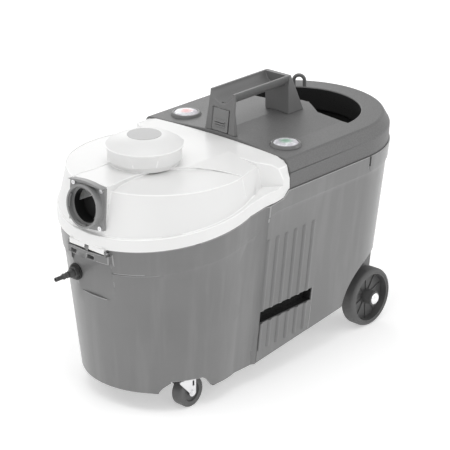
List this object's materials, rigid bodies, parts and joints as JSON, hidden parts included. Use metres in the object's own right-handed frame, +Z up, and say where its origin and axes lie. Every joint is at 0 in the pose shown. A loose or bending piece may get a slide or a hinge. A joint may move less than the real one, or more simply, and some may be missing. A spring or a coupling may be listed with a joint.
{
  "type": "carpet cleaner",
  "caption": "Wheeled spray-extraction carpet cleaner with a hinged translucent tank lid, screw cap, suction inlet, spray coupling, carry handle, push buttons and swivel casters.",
  "frame": {"origin": "on the floor under the middle of the machine", "axes": "+Z up, +Y towards the rear wheels, the suction inlet faces -Y, +X to the right when seen from the inlet end"},
  "size_m": [0.3184, 0.6542, 0.44],
  "materials": {
    "housing_plastic": "fine moulded texture",
    "cover_plastic": "fine moulded texture",
    "handle_plastic": "satin",
    "tank_clear": "satin",
    "lid_clear": "frosted translucent",
    "inner_plastic": "satin",
    "float_plastic": "smooth",
    "disc_plastic": "satin",
    "dark_plastic": "satin",
    "latch_plastic": "satin",
    "bezel_plastic": "smooth",
    "button_red": "clear tinted",
    "button_green": "clear tinted",
    "seal_rubber": "soft",
    "foam": "open cell foam",
    "wheel_plastic": "satin",
    "tyre_rubber": "soft rubber",
    "zinc_steel": "zinc plated",
    "cap_chrome": "polished",
    "fan_alloy": "cast",
    "strainer_brass": "fine mesh"
  },
  "bodies": {
    "machine": {"lower_housing": "housing_plastic", "top_cover": "cover_plastic", "carry_handle": "handle_plastic", "cord_hook": "handle_plastic", "fresh_tank": "tank_clear", "tank_strainer": "strainer_brass", "motor_tray": "handle_plastic", "fan_shell": "fan_alloy", "motor_can": "dark_plastic", "motor_gasket": "seal_rubber", "intake_duct": "handle_plastic", "exhaust_foam": "foam", "pump_body": "dark_plastic", "pump_bracket": "zinc_steel", "suction_hose": "seal_rubber", "pressure_hose": "seal_rubber", "coupling_washer": "seal_rubber", "coupling_nut": "dark_plastic", "spray_nipple": "dark_plastic", "button_bezels": "bezel_plastic", "switch_blocks": "dark_plastic", "rear_axle": "zinc_steel", "axle_brackets": "housing_plastic", "axle_caps": "cap_chrome", "caster_plates": "zinc_steel", "hinge_pin": "zinc_steel", "latch_pin": "zinc_steel", "button_spring_left": "zinc_steel", "button_spring_right": "zinc_steel", "cover_screws": "zinc_steel"},
    "lid": {"lid_shell": "lid_clear", "lid_gasket": "seal_rubber", "inlet_plate": "handle_plastic", "inlet_gasket": "seal_rubber", "inlet_screws": "zinc_steel", "inlet_deflector": "inner_plastic", "float_cage": "inner_plastic", "lid_duct": "inner_plastic"},
    "cap": {"screw_cap": "lid_clear", "cap_disc": "disc_plastic", "cap_seal": "seal_rubber"},
    "float": {"float_ball": "float_plastic"},
    "latch": {"lid_latch": "latch_plastic"},
    "button_left": {"button_left": "button_red"},
    "button_right": {"button_right": "button_green"},
    "fan": {"impeller": "fan_alloy", "fan_shaft": "zinc_steel"},
    "hatch": {"side_hatch": "housing_plastic"},
    "wheel_left": {"rear_wheel_left": "wheel_plastic", "rear_tyre_left": "tyre_rubber"},
    "wheel_right": {"rear_wheel_right": "wheel_plastic", "rear_tyre_right": "tyre_rubber"},
    "fork_left": {"caster_fork_left": "zinc_steel", "caster_bolt_left": "zinc_steel"},
    "fork_right": {"caster_fork_right": "zinc_steel", "caster_bolt_right": "zinc_steel"},
    "caster_left": {"caster_wheel_left": "wheel_plastic"},
    "caster_right": {"caster_wheel_right": "wheel_plastic"}
  },
  "joints": [
    {"name": "lid_hinge", "type": "hinge", "parent": "machine", "child": "lid", "pos_m": [0, -0.29848, 0.271], "axis": [1, 0, 0], "range_deg": [0, 70]},
    {"name": "cap_turn", "type": "hinge", "parent": "lid", "child": "cap", "pos_m": [0, -0.176, 0.4], "axis": [0, 0, 1], "range_deg": [0, 90]},
    {"name": "float_rise", "type": "slide", "parent": "lid", "child": "float", "axis": [0, 0, 1], "range_m": [0, 0.02392]},
    {"name": "latch_press", "type": "hinge", "parent": "machine", "child": "latch", "pos_m": [0, -0.0015, 0.406], "axis": [1, 0, 0], "range_deg": [0, 8], "stiffness_Nm_per_rad": 0.4, "springref_deg": -6.88},
    {"name": "button_left_press", "type": "slide", "parent": "machine", "child": "button_left", "axis": [0, 0, -1], "range_m": [0, 0.003], "stiffness_N_per_m": 600, "springref_m": -0.003, "deforming": ["button_spring_left"]},
    {"name": "button_right_press", "type": "slide", "parent": "machine", "child": "button_right", "axis": [0, 0, -1], "range_m": [0, 0.003], "stiffness_N_per_m": 600, "springref_m": -0.003, "deforming": ["button_spring_right"]},
    {"name": "fan_spin", "type": "hinge", "parent": "machine", "child": "fan", "pos_m": [0, 0.04, 0.27], "axis": [0, 0, 1], "continuous": true},
    {"name": "hatch_swing", "type": "hinge", "parent": "machine", "child": "hatch", "pos_m": [0.12215, 0, 0.05741], "axis": [0, 1, 0], "range_deg": [0, 60]},
    {"name": "wheel_left_roll", "type": "hinge", "parent": "machine", "child": "wheel_left", "pos_m": [-0.114, 0.227, 0.05], "axis": [1, 0, 0], "continuous": true},
    {"name": "wheel_right_roll", "type": "hinge", "parent": "machine", "child": "wheel_right", "pos_m": [0.114, 0.227, 0.05], "axis": [1, 0, 0], "continuous": true},
    {"name": "caster_left_swivel", "type": "hinge", "parent": "machine", "child": "fork_left", "pos_m": [-0.097, -0.202, 0.052], "axis": [0, 0, 1], "continuous": true},
    {"name": "caster_left_roll", "type": "hinge", "parent": "fork_left", "child": "caster_left", "pos_m": [-0.097, -0.189, 0.025], "axis": [1, 0, 0], "continuous": true},
    {"name": "caster_right_swivel", "type": "hinge", "parent": "machine", "child": "fork_right", "pos_m": [0.097, -0.202, 0.052], "axis": [0, 0, 1], "continuous": true},
    {"name": "caster_right_roll", "type": "hinge", "parent": "fork_right", "child": "caster_right", "pos_m": [0.097, -0.189, 0.025], "axis": [1, 0, 0], "continuous": true}
  ]
}
